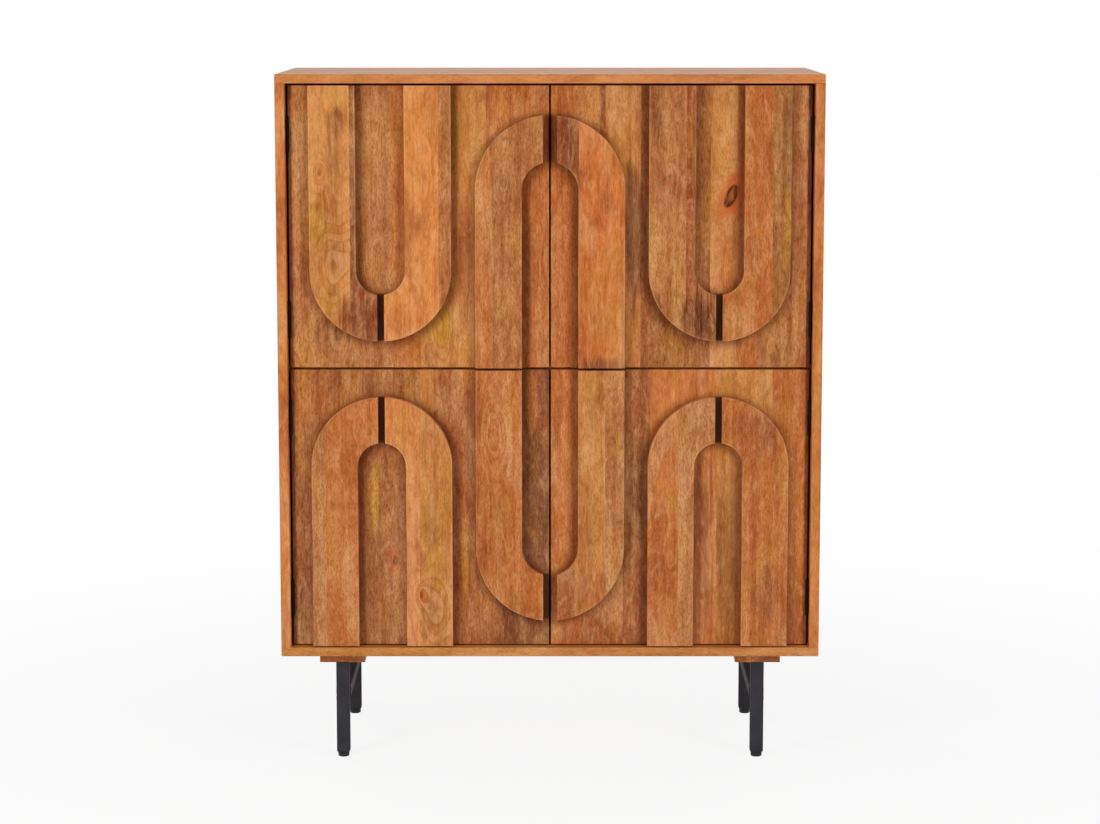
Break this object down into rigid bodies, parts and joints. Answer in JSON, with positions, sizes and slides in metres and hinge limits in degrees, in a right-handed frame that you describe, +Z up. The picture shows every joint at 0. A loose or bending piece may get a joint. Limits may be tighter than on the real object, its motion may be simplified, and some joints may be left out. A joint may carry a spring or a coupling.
{
  "type": "tall sideboard",
  "caption": "Tall wooden sideboard with inset doors that carry raised arch and loop overlays, on black square-tube leg frames with levelling feet; shelves inside.",
  "frame": {"origin": "on the floor, below the middle of the case", "axes": "+Z up, +X to the right of someone facing the doors, the doors face -Y"},
  "size_m": [0.9, 0.4, 1.15],
  "materials": {
    "top_wood": "satin lacquered solid wood, grain along the width",
    "side_wood": "satin lacquered solid wood, grain upright",
    "upper_panel_wood": "satin lacquered solid wood of mixed staves",
    "lower_panel_wood": "satin lacquered solid wood of mixed staves",
    "upper_arch_wood": "satin lacquered solid wood of mixed staves",
    "lower_arch_wood": "satin lacquered solid wood of mixed staves",
    "batten_wood": "satin lacquered solid wood",
    "shelf_wood": "satin lacquered solid wood",
    "back_wood": "thin veneered board, matt",
    "leg_steel": "satin black powder coat",
    "plug_plastic": "black moulded plastic",
    "foot_plastic": "black moulded plastic",
    "bolt_steel": "zinc plated steel",
    "pin_steel": "nickel plated steel",
    "hinge_steel": "dark bronzed steel",
    "catch_plastic": "brown moulded plastic",
    "catch_steel": "zinc plated steel"
  },
  "bodies": {
    "case": {"back_left_leg": "leg_steel", "back_panel": "back_wood", "back_right_leg": "leg_steel", "bottom_panel": "top_wood", "catch_pole_plates": "catch_steel", "front_left_leg": "leg_steel", "front_right_leg": "leg_steel", "hinge_case_leaves": "hinge_steel", "hinge_pins": "hinge_steel", "left_batten": "batten_wood", "left_side_panel": "side_wood", "left_stretcher": "leg_steel", "leg_bolts": "bolt_steel", "leg_plugs": "plug_plastic", "lower_catch": "catch_plastic", "lower_shelf": "shelf_wood", "middle_shelf": "shelf_wood", "right_batten": "batten_wood", "right_side_panel": "side_wood", "right_stretcher": "leg_steel", "shelf_pins": "pin_steel", "top_panel": "top_wood", "upper_catch": "catch_plastic", "upper_shelf": "shelf_wood"},
    "upper_left_door": {"upper_left_door_panel": "upper_panel_wood", "upper_left_arch_outer_half": "upper_arch_wood", "upper_left_arch_inner_half": "upper_arch_wood", "upper_left_loop_quarter": "upper_arch_wood", "upper_left_hinge_door_leaves": "hinge_steel", "upper_left_strike_plate": "catch_steel"},
    "upper_right_door": {"upper_right_door_panel": "upper_panel_wood", "upper_right_arch_outer_half": "upper_arch_wood", "upper_right_arch_inner_half": "upper_arch_wood", "upper_right_loop_quarter": "upper_arch_wood", "upper_right_hinge_door_leaves": "hinge_steel", "upper_right_strike_plate": "catch_steel"},
    "lower_left_door": {"lower_left_door_panel": "lower_panel_wood", "lower_left_arch_outer_half": "lower_arch_wood", "lower_left_arch_inner_half": "lower_arch_wood", "lower_left_loop_quarter": "lower_arch_wood", "lower_left_hinge_door_leaves": "hinge_steel", "lower_left_strike_plate": "catch_steel"},
    "lower_right_door": {"lower_right_door_panel": "lower_panel_wood", "lower_right_arch_outer_half": "lower_arch_wood", "lower_right_arch_inner_half": "lower_arch_wood", "lower_right_loop_quarter": "lower_arch_wood", "lower_right_hinge_door_leaves": "hinge_steel", "lower_right_strike_plate": "catch_steel"},
    "front_left_levelling_foot": {"front_left_foot": "foot_plastic"},
    "front_right_levelling_foot": {"front_right_foot": "foot_plastic"},
    "back_left_levelling_foot": {"back_left_foot": "foot_plastic"},
    "back_right_levelling_foot": {"back_right_foot": "foot_plastic"}
  },
  "joints": [
    {"name": "upper_left_door_swing", "type": "hinge", "parent": "case", "child": "upper_left_door", "pos_m": [-0.4307, -0.1853, 0.89887], "axis": [0, 0, -1], "range_deg": [0, 105]},
    {"name": "upper_right_door_swing", "type": "hinge", "parent": "case", "child": "upper_right_door", "pos_m": [0.4307, -0.1853, 0.89887], "axis": [0, 0, 1], "range_deg": [0, 105]},
    {"name": "lower_left_door_swing", "type": "hinge", "parent": "case", "child": "lower_left_door", "pos_m": [-0.4307, -0.1853, 0.42962], "axis": [0, 0, -1], "range_deg": [0, 105]},
    {"name": "lower_right_door_swing", "type": "hinge", "parent": "case", "child": "lower_right_door", "pos_m": [0.4307, -0.1853, 0.42962], "axis": [0, 0, 1], "range_deg": [0, 105]},
    {"name": "front_left_foot_height", "type": "slide", "parent": "case", "child": "front_left_levelling_foot", "axis": [0, 0, -1], "range_m": [0, 0.01]},
    {"name": "front_right_foot_height", "type": "slide", "parent": "case", "child": "front_right_levelling_foot", "axis": [0, 0, -1], "range_m": [0, 0.01]},
    {"name": "back_left_foot_height", "type": "slide", "parent": "case", "child": "back_left_levelling_foot", "axis": [0, 0, -1], "range_m": [0, 0.01]},
    {"name": "back_right_foot_height", "type": "slide", "parent": "case", "child": "back_right_levelling_foot", "axis": [0, 0, -1], "range_m": [0, 0.01]}
  ]
}
